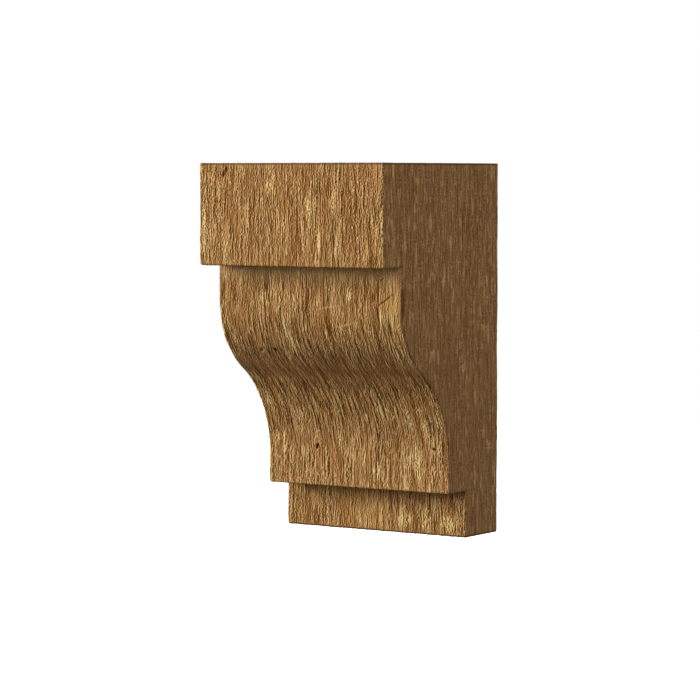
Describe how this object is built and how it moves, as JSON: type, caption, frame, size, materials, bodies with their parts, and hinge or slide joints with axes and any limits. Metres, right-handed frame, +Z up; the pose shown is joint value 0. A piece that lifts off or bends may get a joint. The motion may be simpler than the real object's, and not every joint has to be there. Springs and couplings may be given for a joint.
{
  "type": "beam corbel",
  "caption": "Rustic beam corbel in stained, deep-grained timber finish: square cap, ogee front, lip and wall plate in one moulded piece, fixed by its flat back under a beam end.",
  "frame": {"origin": "middle of the flat back face, where the corbel bears on the wall", "axes": "+Z up the wall, towards the beam; +Y into the wall, so the front looks along -Y; X across the width"},
  "size_m": [0.2064, 0.2035, 0.356],
  "materials": {
    "stained_timber": "rough weathered timber grain moulded in relief, warm brown stain with golden and reddish streaks, matt"
  },
  "bodies": {
    "root": {"corbel": "stained_timber"}
  },
  "joints": []
}
